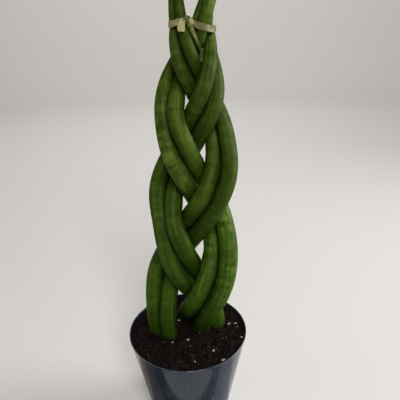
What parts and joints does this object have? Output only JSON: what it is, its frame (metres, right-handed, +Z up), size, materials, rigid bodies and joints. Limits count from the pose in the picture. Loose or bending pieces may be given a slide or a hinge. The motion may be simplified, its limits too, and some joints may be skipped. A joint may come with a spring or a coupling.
{
  "type": "braided cylindrical snake plant",
  "caption": "Braided snake plant: six round pointed leaves woven into a flat plait, tied near the top, rooted in a tapered round pot.",
  "frame": {"origin": "middle of the pot's flat underside, which is the bottom centre of the whole part", "axes": "+Z up through the pot and along the braid, -Y the flat front of the braid, +X to the right seen from the front"},
  "size_m": [0.1198, 0.1198, 0.4586],
  "materials": {
    "pot": "satin",
    "soil": "matte",
    "leaf": "satin",
    "raffia": "matte"
  },
  "bodies": {
    "root": {"pot": "pot", "soil": "soil", "leaf_first_left": "leaf", "leaf_first_right": "leaf", "leaf_second_left": "leaf", "leaf_second_right": "leaf", "leaf_third_left": "leaf", "leaf_third_right": "leaf", "tie": "raffia"}
  },
  "joints": []
}
